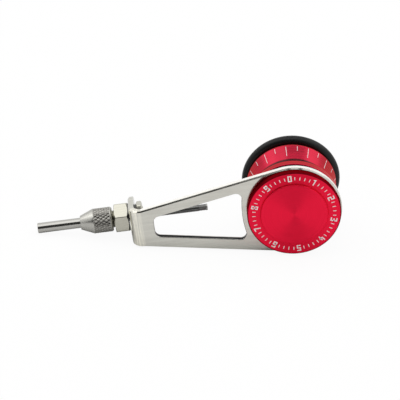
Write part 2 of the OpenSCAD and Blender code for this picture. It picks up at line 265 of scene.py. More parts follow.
def add(tree, kind, values):
    """Adds a shader node: nodes and sockets are linked, values for its inputs set, the rest are settings."""
    made = tree.nodes.new("ShaderNode" + kind)
    for key, value in values.items():
        if isinstance(value, bpy.types.Node):
            value = value.outputs[0]
        if isinstance(value, bpy.types.NodeSocket):
            tree.links.new(value, made.inputs[key])
        elif isinstance(key, int) or key in made.inputs:
            made.inputs[key].default_value = value
        else:
            setattr(made, key, value)
    return made


def streaks(tree, length, width, turn=0.0, detail=3.0):
    """Noise drawn out along X: streaks of a length and a width in millimetres, turned about Y."""
    where = add(tree, "TexCoord", {})
    scale = [1 / (length * MM), 1 / (width * MM), 1 / (width * MM)]
    laid = add(tree, "Mapping", {"Vector": where.outputs["Object"], "Rotation": (0, turn, 0)})
    drawn = add(tree, "VectorMath", {"operation": "MULTIPLY", 0: laid, 1: scale})
    return add(tree, "TexNoise", {"Vector": drawn, "Scale": 1.0, "Detail": detail})


def outward(tree):
    """Way out from the spool axis."""
    where = add(tree, "TexCoord", {})
    middle = placed([0, 0, 0])
    offset = add(tree, "VectorMath", {"operation": "SUBTRACT", 0: where.outputs["Object"], 1: middle})
    return add(tree, "VectorMath", {"operation": "MULTIPLY", 0: offset, 1: (1, 0, 1)})


def rings(tree, width):
    """Tool rings round the spool axis: noise over the way out from the axis and the way along it."""
    where = add(tree, "TexCoord", {})
    radius = add(tree, "VectorMath", {"operation": "LENGTH", 0: outward(tree)})
    parts = add(tree, "SeparateXYZ", {0: where.outputs["Object"]})
    both = add(tree, "CombineXYZ", {0: radius.outputs["Value"], 1: parts.outputs["Y"]})
    return add(tree, "TexNoise", {
        "noise_dimensions": "2D", "Vector": both, "Scale": 1 / (width * MM), "Detail": 2.0})


def fracture(tree, middle, wander, width):
    """Torn and burnished parts of a punched wall: the way through the plate, with a wandering border."""
    where = add(tree, "TexCoord", {})
    parts = add(tree, "SeparateXYZ", {0: where.outputs["Object"]})
    border = add(tree, "Math", {
        "operation": "MULTIPLY_ADD", 0: streaks(tree, WANDER_SIZE, WANDER_SIZE),
        1: wander * MM, 2: parts.outputs["Y"]})
    start = (middle - MID_Y + wander / 2) * MM
    return add(tree, "MapRange", {
        "Value": border, "From Min": start, "From Max": start + width * MM,
        "To Min": PATTERN_LOW, "To Max": PATTERN_HIGH})


def bend_marks(tree, line, full, gone, length, width):
    """Stretch marks of a bend: streaks along Z that fade with the way out from a line along Z."""
    where = add(tree, "TexCoord", {})
    laid = add(tree, "Mapping", {"Vector": where.outputs["Object"], "Rotation": (0, LEAN, 0)})
    offset = add(tree, "VectorMath", {"operation": "SUBTRACT", 0: laid, 1: placed(line) @ LEANING})
    across = add(tree, "VectorMath", {"operation": "MULTIPLY", 0: offset, 1: (1, 1, 0)})
    out = add(tree, "VectorMath", {"operation": "LENGTH", 0: across})
    fade = add(tree, "MapRange", {
        "Value": out.outputs["Value"],
        "From Min": full * MM, "From Max": gone * MM, "To Min": 1.0, "To Max": 0.0})
    marks = add(tree, "MapRange", {
        "Value": streaks(tree, length, width, LEAN + TURN / 4),
        "From Min": PATTERN_LOW, "From Max": PATTERN_HIGH})
    return add(tree, "Math", {"operation": "MULTIPLY", 0: fade, 1: marks})


def darkening_depth(tree):
    """The attribute "depth" of a piece: painted shade in the spool's groove, a painted dark reflection on
    the knob's rim, darker valleys in the knurl.
    """
    return add(tree, "Attribute", {"attribute_name": "depth"}).outputs["Fac"]


def finish(name, grain, shades, rough, relief=0.0, marks_and_painted_shade=None, mask=(darkening_depth,), lay=None, **values):
    """Material whose pattern moves its colour between two shades and its roughness between two values.

    grain is the pattern's function and its sizes, relief its depth in millimetres where it can be felt,
    the next argument the colour that the mask, a function and its sizes, brings in: real stretch marks on
    the steel, painted shade and a painted dark reflection on the red, darker valleys in the knurl,
    and lay the function for the way that the sheen is drawn out.
    """
    material = bpy.data.materials.new(name)
    material.use_nodes = True
    tree = material.node_tree
    tree.nodes.clear()
    span = {"Value": grain[0](tree, *grain[1:]), "From Min": PATTERN_LOW, "From Max": PATTERN_HIGH}
    share = add(tree, "MapRange", span)
    colour = add(tree, "Mix", {
        "data_type": "RGBA", 0: share, 6: linear(shades[0]), 7: linear(shades[1])}).outputs[2]
    if marks_and_painted_shade:
        colour = add(tree, "Mix", {
            "data_type": "RGBA", 0: mask[0](tree, *mask[1:]), 6: colour, 7: linear(marks_and_painted_shade)}).outputs[2]
    inputs = {key.replace("_", " "): value for key, value in values.items()}
    inputs["Base Color"] = colour
    inputs["Roughness"] = add(tree, "MapRange", {**span, "To Min": rough[0], "To Max": rough[1]})
    if relief:
        inputs["Normal"] = add(tree, "Bump", {"Height": span["Value"], "Distance": relief * MM})
    if lay:
        inputs["Tangent"] = lay(tree)
    shader = add(tree, "BsdfPrincipled", inputs)
    add(tree, "OutputMaterial", {"Surface": shader})
    return material


# Stamped 304 stainless sheet, tumbled and buffed: pale warm grey with soft streaks along the arm,
# and creamy stretch marks where the tab is bent
STEEL = finish(
    "polished_sheet_steel", (streaks, 14.0, 1.1, LEAN), ("#c3c2ba", "#d1d0c8"), (0.12, 0.20),
    marks_and_painted_shade="#fffbec", mask=(bend_marks, BEND_LINE, 1.7, 3.1, 14.0, 0.6), Metallic=1.0)

# Tumbled outer edge of the same sheet: paler and duller than the face, so it reads as a light line
RIM = finish(
    "tumbled_edge_steel", (streaks, 3.0, 0.6, LEAN), ("#e6e4df", "#f2f0ec"), (0.42, 0.50), Metallic=1.0)

# Punched wall of the same sheet: dark and torn towards the knob, with a pale burnished strip behind
SHEARED = finish(
    "sheared_steel", (fracture, 1.45, 0.3, 0.2), ("#0e0d0d", "#bbb8b1"), (0.30, 0.42), Metallic=1.0)

# Nickel plated brass hexagons: bright and slightly creamy, with soft milling lines
NICKEL = finish(
    "nickel_plate", (streaks, 4.0, 0.25, LEAN), ("#b2b0a4", "#bdbbaf"), (0.16, 0.24), Metallic=1.0)

# Turned and knurled stainless: satin with fine tool rings, darker down in the knurl's valleys
TURNED = finish(
    "turned_steel", (streaks, 0.12, 2.0, LEAN), ("#aaa9a3", "#b4b3ad"), (0.20, 0.30),
    marks_and_painted_shade="#706d68", Metallic=1.0)

# Drawn and polished stainless tube: mirror bright with hairlines along it
DRAWN = finish(
    "drawn_tube_steel", (streaks, 12.0, 0.3, LEAN), ("#a9a8a3", "#b1b0ab"), (0.12, 0.18), Metallic=1.0)

# Heat blackened steel of the tube: charcoal oxide over drawn metal, with dull patches. The two washers
# are as dark: on the front washer this is painted shade in the gap behind the hexagon.
BLACKENED_AND_SHADE = finish(
    "blackened_steel_and_shade", (streaks, 5.0, 0.3, LEAN), ("#545453", "#6c6c6b"), (0.18, 0.28), Metallic=1.0)

# Rolled spring steel: mid grey with a rolled satin
SPRING = finish("spring_steel", (streaks, 3.0, 0.2), ("#8b8a88", "#a09f9c"), (0.25, 0.38), Metallic=1.0)

# Turned aluminium, dyed red and left satin: a deep red over metal, with fine tool rings that draw its
# sheen out into a fan. Its darker red on the rim is a painted dark reflection.
RED = finish(
    "red_anodised", (rings, 0.35), ("#e81e3d", "#f02243"), (0.36, 0.44), relief=0.001,
    marks_and_painted_shade="#660914", lay=outward, Metallic=1.0, Anisotropic=0.9, Specular_Tint=linear("#ff2a48"))

# The same dye, bright dipped and sealed: the clear skin lays a pale sheen over the red where it faces up
# Its darker red is painted shade in the winding groove behind the flange
RED_SEALED = finish(
    "red_anodised_sealed", (rings, 0.5), ("#a80b2c", "#b40e32"), (0.24, 0.34), marks_and_painted_shade="#3c0409", Metallic=1.0,
    Specular_Tint=linear("#ff2a48"), Coat_Weight=0.4, Coat_Roughness=0.2)

# Moulded nitrile rubber: near black and dull, with a fine mould grain that softens its highlight
RUBBER = finish(
    "moulded_rubber", (streaks, 0.4, 0.4, 0.0, 4.0), ("#070808", "#0a0b0b"), (0.36, 0.46), relief=0.01,
    Specular_IOR_Level=0.26)

# Sintered bronze bush: warm brown gold, pitted and oily
BRONZE = finish(
    "oiled_bronze", (streaks, 0.3, 0.3, 0.0, 4.0), ("#8a6a3a", "#b08d55"), (0.3, 0.5), Metallic=1.0)

# Pressed fibre friction washer: dark grey felted fibres with no gloss
FIBRE = finish(
    "pressed_fibre", (streaks, 1.2, 0.15, 0.0, 5.0), ("#2b2b2c", "#454545"), (0.80, 0.95), relief=0.03)

# Marks cut through the dye to bare aluminium: pale, dull and slightly pink from the red beside them
MARKS = finish("engraved_marks", (streaks, 0.3, 0.3), ("#ddd2d2", "#efe8e7"), (0.40, 0.55), Metallic=0.2)

# The arm plate: reach, profile and steps of its chamfer, and how its faces are merged and told from walls

EDGE_REACH = 0.6
EDGE_FLAT = 0.25
EDGE_STEPS = 6
ARM_SAME_PLACE = 1e-6
FLAT_ANGLE = np.radians(0.6)
WALL_LEAN = 0.3

# Window between the tapering rails
WINDOW_FRONT = -51.5
WINDOW_BACK = -17.0
TAB_HALF = 7.3
RAIL_SLOPE = 0.189
RAIL_START = -54.5
RAIL_INSIDE = 2.0

# Shares of the chamfer, and the height at which it is full
WINDOW_SHARE = 0.3
LEAST_SHARE = 0.15
FULL_HEIGHT = 6.0

# Places that tell the outer side, the bend, the holes and the washer's seat apart
PLATE_MIDDLE = 1.0
TAB_MIDDLE = -58.0
BEND_SUM = -56.0
HOLE_REACH = 4.0
SPOT_BACK = 5.5
SPOT_HALF = 7.0


def values_of(items, name, width=3, kind=float):
    """Array of one value of many mesh items, a row for each."""
    rows = np.empty(len(items) * width, kind)
    items.foreach_get(name, rows)
    return rows.reshape(-1, width)


def in_window(x, z):
    """True inside the window: between its ends and well within the arm's tapering outline."""
    outside = TAB_HALF + RAIL_SLOPE * (x - RAIL_START)
    return (x > WINDOW_FRONT) & (x < WINDOW_BACK) & (np.abs(z) < outside - RAIL_INSIDE)


def wall_kinds(mesh):
    """Finish of each face by number: 0 for the sides, 1 for the outer edge, 2 for the window's walls."""
    x, _, z = unplaced(values_of(mesh.polygons, "center")).T
    level = (np.abs(values_of(mesh.polygons, "normal")[:, 1]) < WALL_LEAN) & (x > RAIL_START)
    return np.where(level, np.where(in_window(x, z), 2, 1), 0)


def edge_shares(mesh):
    """Share of the chamfer at each edge: full along the outer side's top, least on the inner side and below.

    The outer side is the plate's front, the tab's face towards the tip and the bend between them, where
    x and y together stay under a sum. The window has its own share, the holes and the washer's seat none.
    """
    sharp = values_of(mesh.attributes["sharp_edge"].data, "value", 1, bool)[:, 0]
    ends = unplaced(values_of(mesh.vertices, "co"))[values_of(mesh.edges, "vertices", 2, np.int32)]
    x, y, z = ends.mean(1).T
    tab = x < RAIL_START
    axle_hole = np.hypot(x, z) < HOLE_REACH
    tab_hole = tab & (np.hypot(y - NOZZLE_Y, z) < HOLE_REACH)
    washer_seat = tab & (y < SPOT_BACK) & (np.abs(z) < SPOT_HALF)
    outer = (y < PLATE_MIDDLE) | (x < TAB_MIDDLE) | (x + y < BEND_SUM)
    share = np.where(outer, np.clip(z / FULL_HEIGHT, LEAST_SHARE, 1.0), LEAST_SHARE)
    share = np.where(in_window(x, z), WINDOW_SHARE, share)
    return np.where(sharp & ~axle_hole & ~tab_hole & ~washer_seat, share, 0.0)


def arm_plate():
    """Merged copy of the arm's solid, its flat faces joined whole and its edges rounded by a bevel."""
    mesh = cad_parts["frame_arm"].data.copy()
    mesh.name = "arm_plate"
    bm = bmesh.new()
    bm.from_mesh(mesh)
    bmesh.ops.remove_doubles(bm, verts=bm.verts, dist=ARM_SAME_PLACE)
    bmesh.ops.dissolve_limit(bm, angle_limit=FLAT_ANGLE, verts=bm.verts, edges=bm.edges)
    bm.to_mesh(mesh)
    bm.free()
    for layer in ("custom_normal", "sharp_face", "sharp_edge"):
        if layer in mesh.attributes:
            mesh.attributes.remove(mesh.attributes[layer])
    mesh.materials.clear()
    obj = dress("arm_plate", mesh, "arm", [STEEL, RIM, SHEARED], ["frame_arm"], SHARP, False)
    mesh.polygons.foreach_set("material_index", wall_kinds(mesh))
    mesh.attributes.new("bevel_weight_edge", "FLOAT", "EDGE").data.foreach_set("value", edge_shares(mesh))
    bevel = obj.modifiers.new("eased_edges", "BEVEL")
    bevel.width = EDGE_REACH * MM
    bevel.segments = EDGE_STEPS
    bevel.profile = EDGE_FLAT
    bevel.limit_method = "WEIGHT"
    bevel.harden_normals = True
    bevel.use_clamp_overlap = False
    bevel.material = 0


arm_plate()

# The chuck: first its nuts

HEX_POWER = 40
TURNED_SHARE = 0.98
NUT_SHARP = 28
COUNTERSINK = 0.35
HEX_CORNER = np.radians(28)
LOCK_NUT_CORNER = np.radians(45)
CHAMFER_SLOPE = np.tan(np.radians(30))

# Threads on the collet body
THREAD_PITCH = 0.8
THREAD_DEPTH = 0.35
THREAD_START = 0.2
THREAD_STOP = 0.1
THREAD_CHAMFER = 0.15

# Split washer: half its cut in radians, and the cut's slant in radians for each millimetre
WASHER_GAP = 0.14
WASHER_SLANT = 0.25
WASHER_STEPS = 90
WASHER_SHARP = 50

# Chuck nut: its nose, its knurl with the steps for each tooth, its back edge and the room inside it
TURN_SHARP = 30
NOSE_EASE = 0.15
KNURL_TEETH = 26
KNURL_PITCH = 1.9
KNURL_DEPTH = 0.17
KNURL_FRONT = CONE_BACK + 0.15
KNURL_BACK = NUT_BACK - 0.5
KNURL_STEPS = 12
KNURL_ROWS = 90
KNURL_FLAT = 1.1
KNURL_RUNOUT = 0.25
BACK_START = 0.45
BACK_CHAMFER = 0.4
BODY_ROOM = 0.3
COLLET_ROOM = 0.15


def hexagon_angles(corner, per_side=16, crowd=0.8):
    """Column of angles round a hexagon, crowded towards its corners by a sine."""
    u = np.arange(per_side) / per_side
    step = u - crowd * np.sin(TURN * u) / TURN
    return (corner + TURN / 6 * (np.arange(6)[:, None] + step[None, :])).reshape(-1, 1)


def nut_columns(t, flats, corner, front, back):
    """Radius and place of a nut's outside: turned chamfers at both ends meet the flats in arcs.

    The rounded hexagon is half the flats over a high-power mean of the cosines to its six sides.
    """
    sides = corner + TURN / 12 + TURN / 6 * np.arange(6)
    cosines = np.maximum(np.cos(t - sides), 0)
    r = flats / 2 / (cosines ** HEX_POWER).sum(1, keepdims=True) ** (1 / HEX_POWER)
    turned_r = np.full_like(r, flats / 2 * TURNED_SHARE)
    drop = (r - turned_r) * CHAMFER_SLOPE
    radii = [turned_r, r, r, turned_r]
    places = [np.full_like(r, front), front + drop, back - drop, np.full_like(r, back)]
    return radii, places


def columns_of(r, x):
    """Radius and place of a grid, split into its columns."""
    r, x = np.broadcast_arrays(r, x)
    return list(r.T[:, :, None]), list(x.T[:, :, None])


def thread_columns(t, r, front, back, pitch, depth, per_turn=8):
    """Radius and place of a V thread: a triangle wave of the way along, less the turned share of a pitch."""
    x = np.arange(front, back, pitch / per_turn)[None, :]
    return columns_of(r - depth * saw(x / pitch - t / TURN), x)


def plain_columns(t, corners):
    """Radius and place of turned corners, one column each."""
    return [np.full_like(t, r) for r, _ in corners], [np.full_like(t, x) for _, x in corners]


def columns_piece(name, t, parts, *where, **more):
    """Closed piece about the nozzle axis from runs of columns, each a radius and a place at every angle."""
    r = np.concatenate([c for part in parts for c in part[0]], 1)
    x = np.concatenate([c for part in parts for c in part[1]], 1)
    add_piece(name, about_nozzle(r, t, x), grid_faces(*r.shape), *where, **more)


def collet_body():
    """Hexagon with turned chamfers between a threaded neck and the thread that passes through the tab."""
    t = hexagon_angles(HEX_CORNER)
    root = THREAD_R - THREAD_DEPTH
    columns_piece("collet_body_threaded", t, [
        plain_columns(t, [(root, BODY_FRONT)]),
        thread_columns(
            t, THREAD_R, BODY_FRONT + THREAD_START, HEX_FRONT - THREAD_STOP, THREAD_PITCH, THREAD_DEPTH),
        plain_columns(t, [(root, HEX_FRONT)]),
        nut_columns(t, HEX_AF, HEX_CORNER, HEX_FRONT, HEX_BACK),
        plain_columns(t, [
            (THREAD_R, HEX_BACK), (THREAD_R, BODY_BACK - THREAD_CHAMFER),
            (THREAD_R - THREAD_CHAMFER, BODY_BACK), (THROAT_R, BODY_BACK), (THROAT_R, COLLET_BACK),
            (COLLET_R + RUN, COLLET_BACK), (COLLET_R + RUN, BODY_FRONT)]),
    ], "arm", NICKEL, "nut_steel", ["collet_body"], sharp=NUT_SHARP)


def lock_nut():
    """Thin nut with turned chamfers and a countersunk bore."""
    t = hexagon_angles(LOCK_NUT_CORNER)
    bore = THREAD_R + FIT
    columns_piece("lock_nut_chamfered", t, [
        nut_columns(t, LOCK_NUT_AF, LOCK_NUT_CORNER, LOCK_NUT_FRONT, LOCK_NUT_BACK),
        plain_columns(t, [
            (bore + COUNTERSINK, LOCK_NUT_BACK), (bore, LOCK_NUT_BACK - COUNTERSINK),
            (bore, LOCK_NUT_FRONT)]),
    ], "arm", NICKEL, "nut_steel", ["lock_nut"], sharp=NUT_SHARP)


def lock_washer():
    """Split ring: an eased square section carried round the axis from one side of its cut to the other."""
    t = np.linspace(WASHER_GAP, TURN - WASHER_GAP, WASHER_STEPS)[:, None]
    bore = THREAD_R + FIT
    r, x = eased([
        (bore, TAB_BACK), (LOCK_WASHER_R, TAB_BACK),
        (LOCK_WASHER_R, LOCK_NUT_FRONT), (bore, LOCK_NUT_FRONT)]).T
    slant = (x - TAB_BACK)[None, :] * WASHER_SLANT
    ring = about_nozzle(r, t + slant, x)
    ends = np.broadcast_to(ring[[0, -1]].mean(1, keepdims=True), (2, *ring.shape[1:]))
    points = np.concatenate([ends[:1], ring, ends[1:]])
    faces = grid_faces(len(points), len(r), (False, True))
    add_piece("lock_washer_split", points, faces, "arm", BLACKENED_AND_SHADE, "nut_steel", ["lock_washer"],
              sharp=WASHER_SHARP)


def chuck_nut():
    """Cone nose and a barrel with diamonds between V cuts: the lesser of two crossing triangle waves."""
    t = round_steps(KNURL_TEETH * KNURL_STEPS)
    nose = eased([
        (THROAT_R, NUT_FRONT), (CHUCK_NOSE_R, NUT_FRONT), (CHUCK_R, CONE_BACK), (CHUCK_R, KNURL_FRONT)],
        NOSE_EASE, closed=False)
    x = np.linspace(KNURL_FRONT, KNURL_BACK, KNURL_ROWS)[None, :]
    lead, turn = x / KNURL_PITCH, KNURL_TEETH * t / TURN
    rise = np.minimum(np.minimum(saw(turn + lead), saw(turn - lead)) * KNURL_FLAT, 1)
    ends = np.minimum((x - KNURL_FRONT) / KNURL_RUNOUT, (KNURL_BACK - x) / KNURL_RUNOUT)
    sunk = (1 - rise) * np.clip(ends, 0, 1)
    knurl = columns_of(CHUCK_R - KNURL_DEPTH * sunk, x)
    back = [
        (CHUCK_R, NUT_BACK - BACK_START), (CHUCK_R - BACK_CHAMFER, NUT_BACK), (THREAD_R + RUN, NUT_BACK),
        (THREAD_R + RUN, BODY_FRONT - BODY_ROOM), (COLLET_R + 2 * RUN, TAPER_BACK),
        (COLLET_NOSE_R + 2 * RUN, COLLET_FRONT - COLLET_ROOM), (THROAT_R, COLLET_FRONT - COLLET_ROOM)]
    plain = np.zeros_like(t)
    values = np.concatenate([plain.repeat(len(nose), 1), sunk, plain.repeat(len(back), 1)], 1)
    columns_piece("chuck_nut_knurled", t, [plain_columns(t, nose), knurl, plain_columns(t, back)],
                  "chuck_nut", TURNED, "chuck_steel", ["chuck_nut"], sharp=TURN_SHARP, values=values)


collet_body()
lock_nut()
lock_washer()
chuck_nut()

# The nozzle

TUBE_THREAD_LEN = 2.6
TUBE_PITCH = 0.55
TUBE_THREAD_DEPTH = 0.14
TUBE_THREAD_STOP = 0.1
TUBE_STEPS = 64
SLEEVE_STEPS = 96
SLEEVE_EASE = 0.28


def guide_tube():
    """Thin tube with a fine thread cut round its back end."""
    t = round_steps(TUBE_STEPS)
    cut_front = TUBE_BACK - TUBE_THREAD_LEN
    columns_piece("guide_tube_threaded", t, [
        plain_columns(t, [(TUBE_R, TUBE_FRONT), (TUBE_R, cut_front)]),
        thread_columns(t, TUBE_R, cut_front, TUBE_BACK - TUBE_THREAD_STOP, TUBE_PITCH, TUBE_THREAD_DEPTH),
        plain_columns(t, [(TUBE_R, TUBE_BACK), (TUBE_BORE, TUBE_BACK), (TUBE_BORE, TUBE_FRONT)]),
    ], "nozzle", BLACKENED_AND_SHADE, "tube_steel", ["guide_tube"], sharp=TURN_SHARP)


turned("nozzle_sleeve_eased", [
    (TUBE_R + FIT, TIP_X), (SLEEVE_R, TIP_X), (SLEEVE_R, SLEEVE_BACK), (TUBE_R + FIT, SLEEVE_BACK)],
    about_nozzle, SLEEVE_STEPS, SLEEVE_EASE, "nozzle", DRAWN, "sleeve_steel", ["nozzle_sleeve"])
guide_tube()

# The spool and its ring, with the mould line's height, its width in radians and the painted shade in the
# groove

RING_SEAM = 0.03
SEAM_WIDTH = 0.05
RING_SIDES = 48
RING_SHARP = 60
SEAT_STEPS = 8
SHADE_FRONT = GROOVE_FRONT - 0.2
SHADE_BACK = 12.6
SHADE_FADE = 0.4


def grip_ring():
    """Ring of round section, with the thin flash line that the two mould halves leave round its outside."""
    t = round_steps(ROUND_STEPS)
    p = round_steps(RING_SIDES).T
    section = RING_D / 2 + RING_SEAM * np.exp(-(((p + np.pi) % TURN - np.pi) / SEAM_WIDTH) ** 2)
    points = about_spool(RING_R + section * np.cos(p), t, RING_Y + section * np.sin(p))
    faces = grid_faces(ROUND_STEPS, RING_SIDES)
    add_piece("grip_ring_moulded", points, faces, "spool", RUBBER, "rubber_ring", ["grip_ring"],
              sharp=RING_SHARP)


def cone_radius(y):
    """Radius of the long cone at a place along the spool axis."""
    return GROOVE_R + (LIP_R - GROOVE_R) * (y - CONE_FRONT) / (LIP_FRONT - CONE_FRONT)


def spool_outline():
    """Corners of the spool's half section: boss, flange, groove, long cone, lip, ring seat and recess."""
    c = SPOOL_CHAMFER
    floor = RING_R - RING_D / 2 - FIT
    seat = RING_D / 2 + FIT
    first = np.arcsin(RING_LAP / seat)
    last = np.arccos((LIP_R - RING_R) / seat)
    arc = np.linspace(np.pi - first, last, SEAT_STEPS)
    shade_ends = np.array([SHADE_BACK - SHADE_FADE, SHADE_BACK])
    return [
        (SPOOL_BORE, SPOOL_FRONT), (BOSS_R - c, SPOOL_FRONT), (BOSS_R, SPOOL_FRONT + c),
        (BOSS_R, FLANGE_FRONT), (FLANGE_R - c, FLANGE_FRONT), (FLANGE_R, FLANGE_FRONT + c),
        (FLANGE_R, FLANGE_BACK - c), (FLANGE_R - c, FLANGE_BACK),
        (GROOVE_R, GROOVE_FRONT), (GROOVE_R, CONE_FRONT), *zip(cone_radius(shade_ends), shade_ends),
        (LIP_R, LIP_FRONT), (LIP_R, LIP_BACK),
        (floor, RING_Y - RING_LAP), (floor, FAR_FLANGE),
        *zip(RING_R + seat * np.cos(arc), RING_Y + seat * np.sin(arc)),
        (LIP_R, SPOOL_END - c), (LIP_R - c, SPOOL_END),
        (RECESS_R, SPOOL_END), (RECESS_R, RECESS_Y), (SPOOL_BORE, RECESS_Y)]


def groove_painted_shade(r, y):
    """Painted shade in the winding groove and a little way up the cone, behind the flange."""
    return np.clip((SHADE_BACK - y) / SHADE_FADE, 0, 1) * (y > SHADE_FRONT)


turned("spool_turned", spool_outline(), about_spool, ROUND_STEPS, EASE, "spool", RED_SEALED, "red_anodised",
       ["spool"], deep=groove_painted_shade)
grip_ring()

# Marks: ticks on the spool, and the scale on the knob, which starts a quarter turn round at its top

TICK_COUNT = 24
TICK_START = np.radians(0.65)
TICK_HALF_WIDTH = 0.095
TICK_LONG = 4.4
TICK_SHORT = 2.1
TICK_EDGE = 0.35
MARK_PROUD = 0.015
MARK_SUNK = 0.05
MARK_SHARP = 20
DIAL_TOP = 0.25
DIAL_R = 14.5
DIAL_NUMBERS = 10
DIAL_TICKS = 50
DIAL_HEIGHT = 2.45
DIAL_STROKE = 0.42
DIAL_TICK = (0.14, 0.6)
BOX_FACES = np.array([[0, 1, 3, 2], [4, 6, 7, 5], [0, 4, 5, 1], [2, 3, 7, 6], [0, 2, 6, 4], [1, 5, 7, 3]])


def boxes(corners):
    """Points and faces of many small blocks: eight corners each, ordered by three two-way choices."""
    points = corners.reshape(-1, 3)
    faces = BOX_FACES[None] + np.arange(0, len(points), 8)[:, None, None]
    return points, faces.reshape(-1, 4)


def joined(parts):
    """Points and faces of several pieces as one, with the corner numbers moved on."""
    starts = np.cumsum([0] + [len(points) for points, _ in parts])
    faces = [faces + start for (_, faces), start in zip(parts, starts)]
    return np.concatenate([points for points, _ in parts]), np.concatenate(faces)


def spool_ticks():
    """Ticks along the long cone: blocks between two places down the cone, long and short by turns."""
    k = np.arange(TICK_COUNT)
    length = np.where(k % 2 == 0, TICK_LONG, TICK_SHORT)
    slant = np.array([GROOVE_R - LIP_R, CONE_FRONT - LIP_FRONT])
    slant /= np.linalg.norm(slant)
    out = np.array([-slant[1], slant[0]])
    way = np.stack([np.full(TICK_COUNT, TICK_EDGE), TICK_EDGE + length], -1)[:, :, None, None]
    side = np.array([-1, 1])[None, None, :, None] * TICK_HALF_WIDTH
    rise = np.array([-MARK_SUNK, MARK_PROUD])[None, None, None, :]
    r = LIP_R + slant[0] * way + out[0] * rise
    y = LIP_FRONT + slant[1] * way + out[1] * rise
    t = TICK_START + TURN * k[:, None, None, None] / TICK_COUNT + side / r
    add_piece("spool_ticks", *boxes(about_spool(r, t, y)), "spool", MARKS, sharp=MARK_SHARP)


spool_ticks()

# Strokes of the plain numerals, on a grid of two by four
NUMERAL_MIDDLE = (1, 2)
NUMERAL_HEIGHT = 4
NUMERALS = {
    0: [[(0, 0), (2, 0), (2, 4), (0, 4), (0, 0)]],
    1: [[(0.2, 3.6), (1.2, 4), (1.2, 0)]],
    2: [[(0, 4), (2, 4), (2, 2), (0, 2), (0, 0), (2, 0)]],
    3: [[(0, 4), (2, 4), (2, 0), (0, 0)], [(0.5, 2), (2, 2)]],
    4: [[(0, 4), (0, 1.6), (2, 1.6)], [(1.5, 3), (1.5, 0)]],
    5: [[(2, 4), (0, 4), (0, 2), (2, 2), (2, 0), (0, 0)]],
    6: [[(2, 4), (0, 4), (0, 0), (2, 0), (2, 2), (0, 2)]],
    7: [[(0, 4), (2, 4), (0.9, 0)]],
    8: [[(0, 0), (2, 0), (2, 4), (0, 4), (0, 0)], [(0, 2), (2, 2)]],
    9: [[(2, 2), (0, 2), (0, 4), (2, 4), (2, 0), (0, 0)]],
}


def on_dial(right, up, y, angle):
    """Points on the knob's face, given to the right of a line out from its middle and along that line."""
    x = right * np.sin(angle) + up * np.cos(angle)
    z = up * np.sin(angle) - right * np.cos(angle)
    return np.stack(np.broadcast_arrays(x, y, z), -1)


def stroke(path, angle):
    """Points and faces of a numeral's stroke: mitred at its corners, with open ends half a width longer.

    A mitre is the sum of the two directions, turned square, over one plus the cosine between them.
    """
    half = DIAL_STROKE / 2
    p = (np.array(path, float) - NUMERAL_MIDDLE) * (DIAL_HEIGHT - DIAL_STROKE) / NUMERAL_HEIGHT
    d = np.diff(p, axis=0)
    d /= np.linalg.norm(d, axis=1, keepdims=True)
    closed = path[0] == path[-1]
    before = np.concatenate([d[-1:] if closed else d[:1], d])
    after = np.concatenate([d, d[:1] if closed else d[-1:]])
    if not closed:
        p[0] -= half * d[0]
        p[-1] += half * d[-1]
    mitre = (before + after) @ [[0, 1], [-1, 0]] * half / (1 + (before * after).sum(1, keepdims=True))
    rim = np.stack([p + mitre, p - mitre, p - mitre, p + mitre], 1)
    y = KNOB_FRONT + np.array([-MARK_PROUD, -MARK_PROUD, MARK_SUNK, MARK_SUNK])
    points = on_dial(rim[..., 0], DIAL_R + rim[..., 1], y, angle)
    if not closed:
        ends = points[[0, -1]].mean(1, keepdims=True).repeat(4, 1)
        points = np.concatenate([ends[:1], points, ends[1:]])
    return points.reshape(-1, 3), grid_faces(len(points), 4, (False, True))


def dial_marks():
    """Plain scale round the knob: numerals with their tops outward, and ticks between them."""
    parts = []
    for number, strokes in NUMERALS.items():
        angle = TURN * (DIAL_TOP - number / DIAL_NUMBERS)
        parts += [stroke(path, angle) for path in strokes]
    k = np.arange(DIAL_TICKS)
    k = k[k % (DIAL_TICKS // DIAL_NUMBERS) != 0]
    half = np.array([-1, 1])
    right = half[:, None, None] * DIAL_TICK[0]
    up = DIAL_R + half[:, None] * DIAL_TICK[1]
    y = KNOB_FRONT + np.array([MARK_SUNK, -MARK_PROUD])
    angle = TURN * (DIAL_TOP - k[:, None, None, None] / DIAL_TICKS)
    parts.append(boxes(on_dial(right, up, y, angle)))
    add_piece("dial_marks", *joined(parts), "knob", MARKS, sharp=MARK_SHARP)


# The knob

# Where the painted dark reflection on the knob's rim starts, and where it is full
DARK_START = KNOB_R - 0.5
DARK_FULL = KNOB_R - 0.25


def rim_painted_reflection(r, y):
    """Painted dark reflection on the rim and the last of the face next to it."""
    return np.clip((r - DARK_START) / (DARK_FULL - DARK_START), 0, 1)


